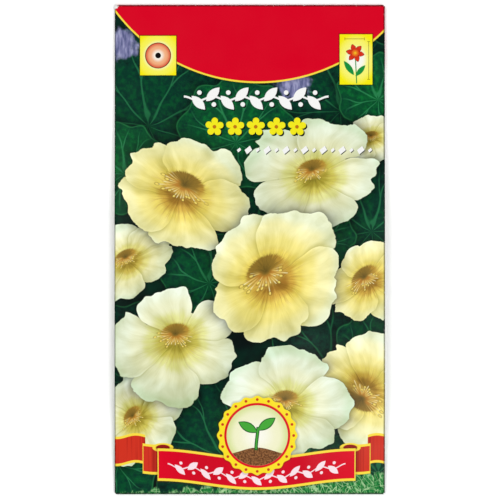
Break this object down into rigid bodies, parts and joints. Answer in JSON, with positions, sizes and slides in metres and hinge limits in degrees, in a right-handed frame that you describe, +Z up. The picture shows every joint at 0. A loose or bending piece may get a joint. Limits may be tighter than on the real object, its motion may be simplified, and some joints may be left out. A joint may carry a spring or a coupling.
{
  "type": "seed packet",
  "caption": "Sealed packet folded from one printed paper sheet, with a glued side lap and end flaps, lying on its back with large ridged seeds inside.",
  "frame": {"origin": "under the centre of the packet, on the surface that it lies on", "axes": "+Y towards the packet's top edge, +X to the right of the printed front, +Z up out of the printed front"},
  "size_m": [0.08, 0.145, 0.0066],
  "materials": {
    "printed_paper": "coated label paper, printed in dark green, cream and red, with a satin varnish",
    "dried_glue": "dried paper glue",
    "seed_husk": "dry corky husk, matte"
  },
  "bodies": {
    "root": {"paper_sleeve": "printed_paper", "side_seam_glue": "dried_glue", "top_flap_glue": "dried_glue", "bottom_flap_glue": "dried_glue", "seed_1": "seed_husk", "seed_2": "seed_husk", "seed_3": "seed_husk", "seed_4": "seed_husk", "seed_5": "seed_husk", "seed_6": "seed_husk", "seed_7": "seed_husk", "seed_8": "seed_husk"}
  },
  "joints": []
}
